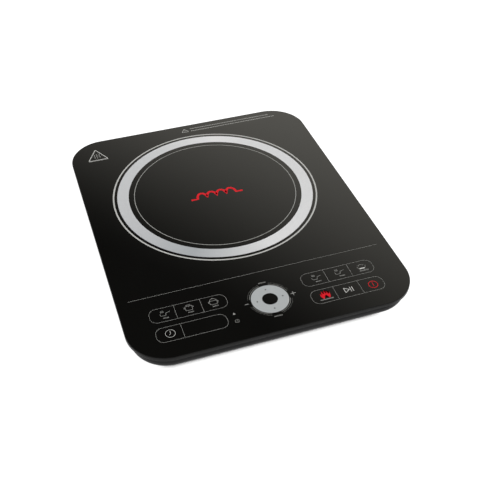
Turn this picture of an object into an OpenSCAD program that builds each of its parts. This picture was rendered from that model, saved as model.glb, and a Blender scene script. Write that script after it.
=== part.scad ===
// Portable electric induction cooktop: a ceramic glass top glued to a moulded frame, over a
// bevelled base tray that holds the induction coil, the cooling fan and the two circuit boards.
// Origin at the centre of the footprint, on the table. +X right, +Y to the rear, +Z up.
// Every size is in millimetres.

/* [Overall size] */
// Width of the glass top, left to right
body_w = 281; // [268:1:340]
// Depth of the glass top, front to rear
body_d = 349; // [342:1:420]
// Height of the cooking surface above the table
body_h = 38; // [37.5:0.5:60]
// Corner radius of the glass top, seen from above
corner_r = 39; // [36:0.5:45]

/* [Glass top] */
// Thickness of the ceramic glass
glass_t = 4; // [3:0.1:4.8]
// Polished bevel along the glass edge
glass_bevel = 0.6; // [0.3:0.1:1]
// Thickness of the silicone bead under the glass
seal_t = 0.8; // [0.5:0.1:1.2]
// How far the glass overhangs the frame
glass_overhang = 3.5; // [2.5:0.1:4.2]

/* [Case] */
// Wall thickness of the frame and the tray
wall_t = 2.2; // [1.8:0.1:2.6]
// Height of the upright side band, glass included
band_h = 9.8; // [9:0.1:11]
// Radius that turns the side band into the sloping underside
blend_r = 11.5; // [10:0.5:12.5]
// How far the flat base is set in from the glass edge
base_inset = 29; // [26:0.5:32]
// Width of the flange that carries the glass
flange_w = 16.5; // [15:0.1:18]
// Gap left at the parting line between frame and tray
part_gap = 0.4; // [0.2:0.1:0.6]
// Distance of the case screws from the glass edge
case_screw_inset = 16; // [15:0.5:17]

/* [Feet] */
// Height of the tray above the table
foot_h = 3; // [2:0.1:4]
// Radius of a rubber foot
foot_r = 9; // [6:0.5:10]
// Depth of the recess that holds a foot
foot_recess = 1; // [0.6:0.1:1.4]

/* [Cord outlet] */
// Distance of the cord outlet from the centre line
outlet_x = 92; // [86:1:96]
// Radius of the hole through the gland
gland_bore_r = 3.9; // [3.2:0.1:4.2]

/* [Induction coil] */
// Distance of the coil centre from the rear edge of the glass
coil_back = 134; // [130:0.5:140]
// Radius of the first turn, to the middle of the wire
coil_in_r = 26; // [25:0.5:30]
// Number of turns
coil_turns = 16; // [10:1:16]
// Diameter of the litz wire
litz_d = 3.4; // [2.4:0.1:3.8]
// Gap between neighbouring turns
litz_gap = 0.45; // [0.3:0.05:0.8]
// Thickness of the mica sheet over the coil
mica_t = 0.5; // [0.3:0.1:0.8]
// Number of ferrite bars under the coil
ferrite_n = 6; // [3:3:6]
// Width of a ferrite bar
ferrite_w = 12; // [8:1:14]
// Thickness of a ferrite bar
ferrite_t = 4; // [3:0.5:4.5]

/* [Cooling fan] */
// Side of the square fan flange
fan_size = 80; // [70:1:84]
// Overall thickness of the fan
fan_t = 15; // [12:0.5:15]
// Distance of the fan centre to the left of the centre line
fan_left = 58; // [56:1:60]
// Number of fan blades
blade_n = 7; // [5:1:9]
// Radius of the motor shaft
shaft_r = 1.5; // [1:0.1:2]
// Radial running clearance of the shaft in its bearing
shaft_play = 0.05; // [0.02:0.01:0.08]

/* [Circuit boards] */
// Thickness of both circuit boards
board_t = 1.6; // [1:0.1:2]
// Width of the power board
power_board_w = 212; // [206:1:214]
// Width of the control board
control_board_w = 232; // [228:1:232]
// Depth of the control board
control_board_d = 42; // [40:1:42]
// Distance of the touch dial's centre from the front edge of the glass
dial_front = 41; // [39:0.5:45]
// Height of the heat sink, base plate included
sink_h = 11.4; // [8:0.1:11.6]

/* [Touch panel] */
// Distance of the middle key of each key group from the centre line
key_x = 75.5; // [74:0.5:78]
// Spacing of the keys in a row
key_pitch = 25; // [20:0.5:26]
// Distance between the two rows of keys
row_pitch = 24.6; // [22:0.1:26]
// Radius of the four keys under the dial
dial_key_r = 12.9; // [11:0.1:14]

/* [Hidden] */
$fn = 64;

eps = 0.01;               // overlap that makes a cut go right through
fit = 0.1;                // gap between pieces that lie side by side
slide = 0.3;              // gap round a piece that drops into place

// Case levels and section, with x measured outwards from the centre of a corner arc
half_w = body_w / 2;
half_d = body_d / 2;
core_w = body_w - 2 * corner_r;
core_d = body_d - 2 * corner_r;
z_tray = foot_h;
z_floor = z_tray + wall_t;
z_glass = body_h - glass_t;
z_flange = z_glass - seal_t;
flange_t = 2;
z_band = body_h - band_h;
shell_r = corner_r - glass_overhang;
lip_t = 1.5;
flange_x = shell_r - flange_w;
base_x = corner_r - base_inset;
blend_x = shell_r - blend_r;
blend = [blend_x, z_band];
// The underside is the line from the base's edge that just touches the blend arc
to_blend = [blend_x - base_x, z_band - z_tray];
slope = atan2(to_blend.y, to_blend.x) - asin(blend_r / norm(to_blend));
part_z = z_band - blend_r * cos(slope);
function slope_x(z) = base_x + (z - z_tray) / tan(slope);
function slope_z(x) = z_tray + (x - base_x) * tan(slope);

// Case screws: four in the sides, two in front and two behind
case_screw_side_y = 95;
case_screw_end_x = 70;
case_screws = [
    for (sx = [-1, 1], sy = [-1, 1])
        each [
            [sx * (half_w - case_screw_inset), sy * case_screw_side_y],
            [sx * case_screw_end_x, sy * (half_d - case_screw_inset)],
        ]
];
screw_r = 1.4;            // shank of a 3 mm screw
pilot_r = screw_r + 0.05;
hole_r = screw_r + 0.25;
head_r = 2.8;
head_h = 2;
pocket_r = 3.5;           // recess for a case screw head
pocket_wall = 1.9;
shelf_t = 2.5;            // tray material under a case screw head
boss_r = 3.2;
pocket_top = slope_z(corner_r - case_screw_inset) + shelf_t + 3.6;

// Feet
foot_x = half_w - corner_r - 5;
foot_y = half_d - corner_r - 5.5;

// Cord outlet: a small upright wall that stands out of the rear slope
nose_w = 24;
nose_roof = 1.6;
gland_neck_r = gland_bore_r + 1.1;
gland_flange_t = 1.5;
gland_z = z_floor + gland_neck_r + 0.5 + fit;
nose_top = gland_z + gland_neck_r + 0.5 + fit + nose_roof;
nose_y = core_d / 2 + slope_x(nose_top);
nose_l = nose_y - core_d / 2 - base_x + 0.5;
clamp_y = core_d / 2 + 1.5;
clamp_dx = 11;
clamp_post_h = 3.3;
clamp_h = 8;

// Coil stack, from the glass downwards
coil_y = half_d - coil_back;
pitch = litz_d + litz_gap;
coil_out_r = coil_in_r + coil_turns * pitch;
z_mica = z_glass - mica_t;
z_coil = z_mica - fit - litz_d / 2;
former_t = 1.7;
former_top = z_coil - litz_d / 2 - fit;
former_z = former_top - former_t;
former_r = coil_out_r + litz_d / 2 + 2.7;
hub_r = coil_in_r - litz_d / 2 - 2.8;
ferrite_z = former_z - ferrite_t;
ferrite_r = [coil_in_r + 6, coil_out_r - 2];
shield_t = 0.8;
shield_top = ferrite_z - 1;
shield_z = shield_top - shield_t;
shield_hole_r = 20;
stake_r = coil_out_r - 8;
post_ring_r = former_r + 9;
post_angles = [150, 30, 270];
post_r = 4.6;
post_top = shield_z - 2;
pin_r = 2.2;
ear_r = 6.5;

// Temperature sensor in the middle of the coil
cup_r = 9.5;
cup_wall = 1.9;
cup_flange_r = 12;
cup_h = 5.4;
cup_floor = 1.2;
button_r = 6.5;
button_t = 3.2;

// Fan
fan_x = -fan_left;
fan_y = coil_y;
fan_foot = 0.8;           // tray bosses under the fan flange
fan_z = z_floor + fan_foot;
fan_flange_t = 4;
fan_bore_r = fan_size / 2 - 1.8;
fan_hole = fan_size / 2 - 4.25;
fan_hub_r = 17;
fan_cup_r = fan_hub_r - 1.8;
fan_magnet_t = 1.4;
fan_stator_r = fan_cup_r - fan_magnet_t - 0.5;
bearing_r = shaft_r + 1.1;
bearing_tube_r = bearing_r + 0.9;
fan_base_t = 1.5;
grille_r = fan_bore_r - 1.2;

// Power board, an L with its bar under the panel and its leg beside the fan
board_z = z_floor + 2.8;
board_top = board_z + board_t;
bar_front = -half_d + 34.5;
bar_rear = coil_y - post_ring_r - post_r - 3;
leg_left = 8;
leg_rear = coil_y + 30;
half_board = power_board_w / 2;
bar_y = bar_front + 21;   // line that the parts on the bar are set out from
board_screws_at = [
    [-half_board + 5, bar_front + 5], [half_board - 5, bar_front + 5],
    [-half_board + 5, bar_rear - 5], [half_board - 5, bar_rear - 5],
    [leg_left + 5, leg_rear - 6], [half_board - 6, leg_rear - 6],
];
sink_x = [14, 84];
sink_y = [coil_y - 86, coil_y + 10];
sink_base_t = 3;
sink_ledge = 26;          // bare strip of the base that carries the two semiconductors
sink_top = board_top + sink_h;
transistor_at = [36, sink_y[1] - 12];
rectifier_at = [64, sink_y[1] - 12];
terminals_at = [[30, coil_y - 100], [52, coil_y - 100]];
sensor_plug_at = [34, leg_rear - 12];
fan_plug_at = [50, leg_rear - 12];

// Control board, in its carrier under the glass
dial_y = -half_d + dial_front;
carrier_t = 1.5;
carrier_z = z_glass - 12;
capacitor_h = carrier_z - 0.4 - board_top; // tall parts end just under the carrier
carrier_rim_t = 1.2;
carrier_rim_h = 5;
control_z = carrier_z + carrier_t + 0.9;
control_top = control_z + board_t;
control_y = dial_y + 3;
carrier_w = control_board_w + 2 * (carrier_rim_t + 0.4);
carrier_d = control_board_d + 2 * (carrier_rim_t + 0.4);
carrier_post_r = 3;
carrier_posts = [for (sx = [-1, 1], dy = [-15.5, 15.5]) [sx * (control_board_w / 2 - 4), control_y + dy]];
keys = [
    for (k = [-1:1]) [-key_x + k * key_pitch, dial_y + row_pitch / 2],
    for (k = [-1:1]) [key_x + k * key_pitch, dial_y + row_pitch / 2],
    for (k = [-1:1]) [key_x + k * key_pitch, dial_y - row_pitch / 2],
    [-key_x - key_pitch, dial_y - row_pitch / 2],
    for (a = [0, 90, 180, 270]) dial_key_r * [cos(a), sin(a)] + [0, dial_y],
];
display_at = [-key_x + 8, dial_y - row_pitch / 2];
lamp_at = [[-38, dial_y - 7.5], [-38, dial_y - 15.5]];
ribbon_x = -36;

// Routes of the leads, one point a row
coil_inner_route = [
    [coil_in_r, coil_y + 0.4, z_coil], [coil_in_r - 0.5, coil_y + 5, z_coil],
    [coil_in_r - 5, coil_y + 11.5, z_coil], [coil_in_r - 13.5, coil_y + 13.5, z_coil - 0.3],
    [9, coil_y + 15, former_z + 0.3], [7.5, coil_y + 13, former_z - 4],
    [8, coil_y + 7, shield_z - 4.5], [9, coil_y - 6, shield_z - 6.5],
    [9, coil_y - 40, shield_z - 6.5], [9, coil_y - 72, shield_z - 6.5],
    [10.5, coil_y - 90, shield_z - 6.6], [terminals_at[0].x - 4.5, terminals_at[0].y, board_top + 6.2],
];
coil_outer_route = [
    [coil_out_r, coil_y - 0.4, z_coil], [coil_out_r + 1, coil_y - 12, z_coil],
    [coil_out_r + 5, coil_y - 30, z_coil], [sink_x[1] + 13.6, coil_y - 46, z_coil - 3],
    [sink_x[1] + 13.6, coil_y - 62, shield_z + 1], [sink_x[1] + 10.6, coil_y - 78, shield_z - 4.5],
    [sink_x[1] + 0.6, coil_y - 93, shield_z - 6.2], [sink_x[1] - 16.4, coil_y - 100, board_top + 6.3],
    [terminals_at[1].x + 4.5, terminals_at[1].y, board_top + 6.2],
];
sensor_route = [
    [0, coil_y, z_glass - button_t - 0.2], [0, coil_y, ferrite_z - 2], [1, coil_y + 3, board_top + 5],
    [7, coil_y + 12, board_top + 3], [18, leg_rear - 12.5, board_top + 3],
    [sensor_plug_at.x - 4.5, sensor_plug_at.y, board_top + 3],
];
fan_route = [
    [fan_x + fan_size / 2 + 0.7, fan_y + 20, fan_z + 2], [fan_x + fan_size / 2 + 8, fan_y + 26, fan_z + 3],
    [-2, leg_rear - 2, board_top + 3], [14, leg_rear + 2.5, board_top + 3.4],
    [38, leg_rear + 2, board_top + 3.2], [fan_plug_at.x - 3, leg_rear - 3, board_top + 3.1],
    [fan_plug_at.x, fan_plug_at.y + 3.3, board_top + 3],
];

// ---- Shared shapes ----

// A section carried round the outline of the case. The section's x is measured from a corner's centre.
module rim() {
    for (sx = [0, 1], sy = [0, 1])
        mirror([sx, 0, 0]) mirror([0, sy, 0])
            translate([core_w / 2, core_d / 2, 0]) rotate_extrude(angle = 90) children();
    for (s = [0, 180]) rotate(s) {
        translate([core_w / 2, core_d / 2, 0]) rotate([90, 0, 0]) linear_extrude(core_d) children();
    }
    for (s = [0, 1]) mirror([0, s, 0]) translate([-core_w / 2, core_d / 2, 0])
        rotate([90, 0, 90]) linear_extrude(core_w) children();
}

// Section of the frame: the blend arc from the parting line upwards, the side band, the flange and the lip
module frame_section() {
    end = slope + part_gap / blend_r * 180 / PI;
    intersection() {
        translate(blend) difference() {
            circle(blend_r);
            circle(blend_r - wall_t);
        }
        polygon([for (d = [[0, 0], [2, 0], [2, -2], [2 * sin(end), -2 * cos(end)]]) blend + blend_r * d]);
    }
    translate([shell_r - wall_t, z_band]) square([wall_t, z_flange - z_band]);
    translate([flange_x, z_flange - flange_t]) square([flange_w - wall_t / 2, flange_t]);
    translate([shell_r - lip_t, z_flange - eps]) square([lip_t, seal_t - 0.2 + eps]);
}

// Section of the tray: the edge of the floor and the sloping wall up to the parting line
module tray_section() {
    radial = [sin(slope), -cos(slope)];
    foot = slope_x(z_floor) - wall_t / sin(slope);
    polygon([
        [0, z_tray], [base_x, z_tray], blend + blend_r * radial, blend + (blend_r - wall_t) * radial,
        [foot, z_floor], [0, z_floor],
    ]);
}

// Everything above the middle of the tray's wall, used to trim what stands on the slope
module above_slope(top) {
    low = z_tray + wall_t / 2;
    inward = wall_t / 2 / sin(slope);
    rim() polygon([[0, low], [slope_x(low) - inward, low], [slope_x(top) - inward, top], [0, top]]);
    translate([-core_w / 2, -core_d / 2, low]) cube([core_w, core_d, top - low]);
}

module rounded_slab(w, d, h, r) {
    translate([-w / 2 + r, -d / 2, 0]) cube([w - 2 * r, d, h]);
    translate([-w / 2, -d / 2 + r, 0]) cube([w, d - 2 * r, h]);
    for (sx = [-1, 1], sy = [-1, 1])
        translate([sx * (w / 2 - r), sy * (d / 2 - r), 0]) cylinder(r = r, h = h);
}

// A cross-headed screw: the underside of the head is at z 0 and the shank points down
module screw(length, shank = screw_r, head = head_r, head_t = head_h) {
    difference() {
        union() {
            cylinder(r = head, h = head_t);
            translate([0, 0, -length]) cylinder(r = shank, h = length + eps);
        }
        for (a = [0, 90]) rotate(a)
            translate([-head * 0.55, -0.35, head_t - 0.9]) cube([head * 1.1, 0.7, 1]);
    }
}

module at(points) {
    for (p = points) translate([p.x, p.y, len(p) > 2 ? p.z : 0]) children();
}

module box_at(at, size) {
    translate([at.x - size.x / 2, at.y - size.y / 2, at.z]) cube(size);
}

// A closed skin over rings of points, each ring with the same number of points
module skin(rings) {
    n = len(rings[0]);
    m = len(rings);
    polyhedron(
        points = [for (r = rings) each r],
        faces = [
            [for (i = [0:n - 1]) i],
            for (k = [0:m - 2], i = [0:n - 1])
                [k * n + i, (k + 1) * n + i, (k + 1) * n + (i + 1) % n, k * n + (i + 1) % n],
            [for (i = [n - 1:-1:0]) (m - 1) * n + i],
        ]
    );
}

// A wire spring wound about Z
module wire_spring(r, wire, height, turns, sides = 6, steps = 10) {
    skin([
        for (k = [0:turns * steps])
            let (a = 360 * k / steps, z = wire / 2 + (height - wire) * k / (turns * steps))
                [
                    for (i = [0:sides - 1])
                        let (b = -360 * i / sides, q = r + wire / 2 * cos(b))
                            [q * cos(a), q * sin(a), z + wire / 2 * sin(b)]
                ]
    ]);
}

// Catmull-Rom curve through the route's points
function curve_at(p, i, t) =
    let (a = p[max(i - 1, 0)], b = p[i], c = p[i + 1], d = p[min(i + 2, len(p) - 1)])
        0.5 * (2 * b + (c - a) * t + (2 * a - 5 * b + 4 * c - d) * t ^ 2 + (3 * b - a - 3 * c + d) * t ^ 3);
function smooth(p, steps) = [
    for (i = [0:len(p) - 2], k = [0:steps - 1]) curve_at(p, i, k / steps), p[len(p) - 1]
];
function unit(v) = v / norm(v);

// A round wire along a route; side is any direction that the route never runs along
module wire(route, d, steps, sides, side) {
    p = smooth(route, steps);
    skin([
        for (k = [0:len(p) - 1])
            let (
                t = unit(p[min(k + 1, len(p) - 1)] - p[max(k - 1, 0)]),
                u = unit(cross(t, side)),
                v = cross(t, u)
            )
                [for (i = [0:sides - 1]) let (b = -360 * i / sides) p[k] + d / 2 * (u * cos(b) + v * sin(b))]
    ]);
}

// ---- Glass and case ----

module glass_top() {
    color("#141414") {
        rim() polygon([
            [0, z_glass], [corner_r - glass_bevel, z_glass], [corner_r, z_glass + glass_bevel],
            [corner_r, body_h - glass_bevel], [corner_r - glass_bevel, body_h], [0, body_h],
        ]);
        translate([-core_w / 2, -core_d / 2, z_glass]) cube([core_w, core_d, glass_t]);
    }
}

module glass_seal() {
    color("#1c1c1c") rim()
        translate([flange_x + 2, z_flange]) square([flange_w - lip_t - 2.4, seal_t]);
}

module top_frame() {
    color("#2b2b2c") difference() {
        union() {
            rim() frame_section();
            at(case_screws) translate([0, 0, pocket_top + fit])
                cylinder(r = boss_r, h = z_flange - flange_t / 2 - pocket_top - fit);
        }
        at(case_screws) translate([0, 0, pocket_top]) cylinder(r = pilot_r, h = z_flange - 1 - pocket_top);
    }
}

// The tray's bare shell, floor included
module tray_shell() {
    rim() tray_section();
    translate([-core_w / 2, -core_d / 2, z_tray]) cube([core_w, core_d, wall_t]);
}

module tray_posts() {
    at(board_screws_at) translate([0, 0, z_tray + 1]) cylinder(r = 3.2, h = board_z - z_tray - 1);
    at(carrier_posts) translate([0, 0, z_tray + 1]) cylinder(r = carrier_post_r, h = carrier_z - z_tray - 1);
    translate([0, coil_y, 0]) for (a = post_angles) rotate(a) translate([post_ring_r, 0, z_tray + 1]) {
        cylinder(r = post_r, h = post_top - z_tray - 1);
        cylinder(r = pin_r, h = former_top - fit - z_tray - 1);
    }
    translate([fan_x, fan_y, 0]) for (sx = [-1, 1], sy = [-1, 1])
        translate([sx * fan_hole, sy * fan_hole, z_tray + 1]) cylinder(r = 4, h = fan_z - z_tray - 1);
    for (s = [-1, 1]) translate([outlet_x + s * clamp_dx, clamp_y, z_tray + 1])
        cylinder(r = 3, h = z_floor + clamp_post_h - z_tray - 1);
    box_at([outlet_x, clamp_y, z_tray + 1], [14, 6, gland_z - 3.9 - z_tray - 1]);
    at(case_screws) translate([0, 0, z_tray]) cylinder(r = pocket_r + pocket_wall, h = pocket_top - z_tray);
}

module grille_slots(depth) {
    ring = 4.4;
    translate([fan_x, fan_y, z_tray - eps]) for (r = [9:ring:grille_r - 2.6]) difference() {
        cylinder(r = r + 2.6, h = depth);
        translate([0, 0, -eps]) cylinder(r = r, h = depth + 2 * eps);
        for (a = [0, 60, 120]) rotate(a)
            translate([-grille_r - 1, -1.5, -eps]) cube([2 * grille_r + 2, 3, depth + 2 * eps]);
    }
}

// A row of n slots through one sloping wall, side by side along X
module vent_row(n, out) {
    slot_w = 2.6;
    slot_pitch = 5.6;
    for (k = [0:n - 1])
        translate([(k - (n - 1) / 2) * slot_pitch - slot_w / 2, out + slope_x(z_floor + 2.6) - 4, z_floor + 2.6])
            cube([slot_w, 40, part_z - z_floor - 7]);
}

module tray_holes() {
    at(case_screws) {
        translate([0, 0, z_tray - 1]) cylinder(r = pocket_r, h = pocket_top - shelf_t - z_tray + 1);
        translate([0, 0, pocket_top - shelf_t - 1]) cylinder(r = hole_r, h = shelf_t + 2);
    }
    at(board_screws_at) translate([0, 0, z_tray + 1.4]) cylinder(r = pilot_r, h = 10);
    at(carrier_posts) translate([0, 0, carrier_z - 8]) cylinder(r = pilot_r, h = 10);
    translate([0, coil_y, 0]) for (a = post_angles) rotate(a)
        translate([post_ring_r, 0, former_top - 7]) cylinder(r = 1.15, h = 10);
    translate([fan_x, fan_y, 0]) for (sx = [-1, 1], sy = [-1, 1])
        translate([sx * fan_hole, sy * fan_hole, z_tray + 1]) cylinder(r = pilot_r, h = 10);
    for (s = [-1, 1]) translate([outlet_x + s * clamp_dx, clamp_y, z_tray + 1.2]) cylinder(r = pilot_r, h = 20);
    for (sx = [-1, 1], sy = [-1, 1]) translate([sx * foot_x, sy * foot_y, z_tray - eps])
        cylinder(r = foot_r + fit, h = foot_recess + eps);
    translate([outlet_x, nose_y - wall_t - 1, gland_z]) rotate([-90, 0, 0]) cylinder(r = gland_neck_r, h = 10);
    grille_slots(wall_t + 2 * eps);
    vent_row(18, core_d / 2);
    for (s = [-90, 90]) rotate(s) vent_row(16, core_w / 2);
}

module bottom_tray() {
    color("#232324") difference() {
        union() {
            tray_shell();
            intersection() {
                tray_posts();
                above_slope(z_band);
            }
            translate([outlet_x - nose_w / 2, nose_y - nose_l, z_tray]) cube([nose_w, nose_l, nose_top - z_tray]);
        }
        translate([outlet_x - nose_w / 2 + wall_t, nose_y - nose_l - 4, z_floor])
            cube([nose_w - 2 * wall_t, nose_l + 4 - wall_t, nose_top - z_floor - nose_roof]);
        tray_holes();
    }
}

module tray_screws() {
    color("#8a8d90") at(case_screws) translate([0, 0, pocket_top - shelf_t])
        mirror([0, 0, 1]) screw(12);
}

module foot(sx, sy) {
    color("#101010") translate([sx * foot_x, sy * foot_y, 0]) difference() {
        union() {
            cylinder(r1 = foot_r - 0.6, r2 = foot_r, h = 0.6);
            translate([0, 0, 0.6]) cylinder(r = foot_r, h = foot_h + foot_recess - 0.6);
        }
        translate([0, 0, -eps]) difference() {
            cylinder(r = foot_r - 2.2, h = 0.5);
            translate([0, 0, -eps]) cylinder(r = foot_r - 3.2, h = 1);
        }
    }
}

module cord_gland() {
    color("#0d0d0d") translate([outlet_x, nose_y - wall_t - gland_flange_t, gland_z]) rotate([-90, 0, 0])
        difference() {
            union() {
                cylinder(r = gland_neck_r + 0.5, h = gland_flange_t);
                cylinder(r = gland_neck_r, h = gland_flange_t + wall_t + eps);
                translate([0, 0, gland_flange_t + wall_t]) cylinder(r = gland_neck_r + 2, h = gland_flange_t);
            }
            translate([0, 0, -1]) cylinder(r = gland_bore_r, h = 10);
        }
}

module cord_clamp() {
    z = z_floor + clamp_post_h;
    color("#e4e1d8") difference() {
        box_at([outlet_x, clamp_y, z], [2 * clamp_dx + 8, 7, clamp_h]);
        translate([outlet_x, clamp_y - 5, gland_z]) rotate([-90, 0, 0]) cylinder(r = gland_bore_r, h = 10);
        box_at([outlet_x, clamp_y, z - 1], [2 * gland_bore_r, 9, gland_z - z + 1]);
        for (s = [-1, 1]) translate([outlet_x + s * clamp_dx, clamp_y, z - 1]) cylinder(r = hole_r, h = clamp_h + 2);
    }
}

module clamp_screws() {
    color("#b9bcc0") for (s = [-1, 1])
        translate([outlet_x + s * clamp_dx, clamp_y, z_floor + clamp_post_h + clamp_h]) screw(11.5);
}

// ---- Coil and sensor ----

module mica_sheet() {
    color("#b9a27a") translate([0, coil_y, z_mica]) difference() {
        cylinder(r = former_r, h = mica_t);
        translate([0, 0, -1]) cylinder(r = button_r + 2, h = mica_t + 2);
    }
}

// A flat spiral of half turns, whose centres step half a pitch to and fro
module coil_winding() {
    color("#b8703a") translate([0, coil_y, z_coil]) for (k = [0:2 * coil_turns - 1])
        translate([k % 2 * pitch / 2, 0, 0]) rotate(k % 2 == 0 ? 180 : 0) rotate_extrude(angle = 180)
            translate([coil_in_r + k * pitch / 2, 0]) circle(d = litz_d);
}

module coil_leads() {
    color("#9c3b2a") {
        wire(coil_inner_route, litz_d, 3, 8, [1, 0.02, 0.05]);
        wire(coil_outer_route, litz_d, 3, 8, [0.05, 0.05, 1]);
    }
}

module former_window() {
    difference() {
        cylinder(r = stake_r - 7, h = former_t + 2);
        translate([0, 0, -1]) cylinder(r = ferrite_r[0] + 2, h = former_t + 4);
        for (s = [-1, 1]) rotate(s * 17) translate([-1, s > 0 ? 0 : -200, -1]) cube([200, 200, former_t + 4]);
        translate([-200, -100, -1]) cube([200, 200, former_t + 4]);
    }
}

module coil_former() {
    rim_h = litz_d * 0.75;
    color("#3a3a3c") translate([0, coil_y, 0]) difference() {
        union() {
            translate([0, 0, former_z]) cylinder(r = former_r, h = former_t + rim_h);
            for (a = post_angles) rotate(a) {
                translate([post_ring_r, 0, former_z]) cylinder(r = ear_r, h = former_t);
                translate([former_r - 4, -4, former_z]) cube([post_ring_r - former_r + 4, 8, former_t]);
                translate([stake_r, 0, shield_top]) cylinder(r = 3, h = former_z - shield_top + eps);
                translate([stake_r, 0, shield_z - eps]) cylinder(r = 1.3, h = shield_t + 2 * eps);
                translate([stake_r, 0, shield_z - 0.6]) cylinder(r = 2.4, h = 0.6);
            }
        }
        translate([0, 0, former_top]) difference() {
            cylinder(r = former_r - 1.6, h = 10);
            translate([0, 0, -1]) cylinder(r = hub_r + 1.8, h = 12);
        }
        translate([0, 0, former_z - 1]) cylinder(r = hub_r, h = 20);
        // ways out for the two leads
        translate([0, 0, former_top]) cube([coil_in_r, hub_r + 2, 10]);
        translate([hub_r + 8, -former_r, former_top]) cube([100, former_r, 10]);
        for (k = [0:5]) rotate(30 + 60 * k) translate([0, 0, former_z - 1]) former_window();
        for (a = post_angles) rotate(a) translate([post_ring_r, 0, former_z - 1]) cylinder(r = pin_r + 0.4, h = 10);
    }
    // bridge that carries the sensor bracket
    color("#3a3a3c") translate([0, coil_y, former_z]) difference() {
        union() {
            cylinder(r = cup_flange_r + 0.5, h = former_t);
            for (a = [90, 210, 330]) rotate(a) translate([0, -2, 0]) cube([hub_r + 1, 4, former_t]);
        }
        translate([0, 0, -1]) cylinder(r = cup_r + fit, h = former_t + 2);
    }
}

module ferrite_bars() {
    color("#4b4b50") translate([0, coil_y, ferrite_z]) for (k = [0:ferrite_n - 1]) rotate(360 * k / ferrite_n)
        translate([ferrite_r[0], -ferrite_w / 2, 0]) cube([ferrite_r[1] - ferrite_r[0], ferrite_w, ferrite_t]);
}

module coil_spring(a) {
    color("#c9ccd0") translate([0, coil_y, 0]) rotate(a) translate([post_ring_r, 0, post_top + fit])
        wire_spring(3.7, 0.9, former_z - post_top - 2 * fit, 5);
}

module coil_screws() {
    color("#b9bcc0") translate([0, coil_y, 0]) for (a = post_angles) rotate(a)
        translate([post_ring_r, 0, former_top]) screw(6, 1.1, 4, 1.6);
}

module sensor_bracket() {
    color("#d8d4c8") translate([0, coil_y, former_top]) difference() {
        union() {
            cylinder(r = cup_flange_r, h = 1);
            translate([0, 0, -cup_h]) cylinder(r = cup_r, h = cup_h + eps);
        }
        translate([0, 0, -cup_h + cup_floor]) cylinder(r = cup_r - cup_wall, h = cup_h + 2);
        translate([0, 0, -cup_h - 1]) cylinder(r = 2.6, h = cup_h);
    }
}

module sensor_spring() {
    low = former_top - cup_h + cup_floor;
    color("#c9ccd0") translate([0, coil_y, low + fit])
        wire_spring(5.2, 0.7, z_glass - button_t - low - 2 * fit, 4);
}

module temperature_sensor() {
    color("#c4c6c8") translate([0, coil_y, z_glass - button_t]) {
        cylinder(r = button_r, h = button_t - 0.8);
        translate([0, 0, button_t - 0.8 - eps]) cylinder(r = button_r - 1, h = 0.8 + eps);
    }
}

module sensor_lead() {
    color("#d9d9d6") for (s = [-1, 1])
        wire([for (p = sensor_route) p + s * [0.7, -0.7, 0]], 1.3, 3, 6, [1, -1, 0.02]);
}

module shield_plate() {
    color("#c8cbce") translate([0, coil_y, shield_z]) difference() {
        cylinder(r = former_r - 2, h = shield_t);
        translate([0, 0, -1]) cylinder(r = shield_hole_r, h = shield_t + 2);
        for (a = post_angles) rotate(a) translate([stake_r, 0, -1]) cylinder(r = 1.5, h = shield_t + 2);
    }
}

// ---- Fan ----

module fan_frame() {
    color("#1a1a1b") translate([fan_x, fan_y, fan_z]) difference() {
        union() {
            rounded_slab(fan_size, fan_size, fan_flange_t, 5);
            cylinder(r = fan_size / 2 - 0.1, h = fan_t);
        }
        difference() {
            translate([0, 0, -1]) cylinder(r = fan_bore_r, h = fan_t + 2);
            translate([0, 0, fan_t - fan_base_t]) cylinder(r = fan_stator_r + 2.5, h = fan_base_t + 2);
            for (a = [45, 135]) rotate(a) translate([-fan_size / 2, -1.8, fan_t - fan_base_t])
                cube([fan_size, 3.6, fan_base_t + 2]);
            translate([0, 0, 3.8]) cylinder(r = bearing_tube_r, h = fan_t);
        }
        translate([0, 0, fan_t]) cylinder(r = fan_size, h = 5);
        translate([0, 0, 3]) cylinder(r = bearing_r, h = fan_t - 4);
        for (sx = [-1, 1], sy = [-1, 1])
            translate([sx * fan_hole, sy * fan_hole, -1]) cylinder(r = hole_r, h = 30);
    }
}

// Laminated core with four teeth, a winding on each, and the small drive board behind it
module fan_stator() {
    color("#a9663a") translate([fan_x, fan_y, fan_z]) difference() {
        union() {
            translate([0, 0, 5.4]) cylinder(r = bearing_tube_r + 1.8, h = 5.6);
            for (a = [0:90:270]) rotate(a) {
                translate([0, -2.4, 5.4]) cube([fan_stator_r - 1.4, 4.8, 5.6]);
                intersection() {
                    translate([0, 0, 5.4]) difference() {
                        cylinder(r = fan_stator_r, h = 5.6);
                        translate([0, 0, -1]) cylinder(r = fan_stator_r - 1.6, h = 8);
                    }
                    rotate(-36) translate([0, 0, 5]) cube([20, 20, 7]);
                    rotate(-54) translate([0, 0, 5]) cube([20, 20, 7]);
                }
            }
            translate([0, 0, fan_t - fan_base_t - 1.2]) cylinder(r = fan_stator_r, h = 1.2);
            translate([0, 0, 11 - eps]) cylinder(r = bearing_tube_r + 1, h = fan_t - fan_base_t - 12.2 + 2 * eps);
        }
        translate([0, 0, 3]) cylinder(r = bearing_tube_r, h = fan_t);
    }
}

module fan_bearing() {
    color("#b08d4a") translate([fan_x, fan_y, fan_z + 4]) difference() {
        cylinder(r = bearing_r, h = fan_t - 5.2);
        translate([0, 0, -1]) cylinder(r = shaft_r + shaft_play, h = fan_t);
    }
}

module fan_screws() {
    color("#b9bcc0") translate([fan_x, fan_y, fan_z + fan_flange_t]) for (sx = [-1, 1], sy = [-1, 1])
        translate([sx * fan_hole, sy * fan_hole, 0]) screw(5.6);
}

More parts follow.
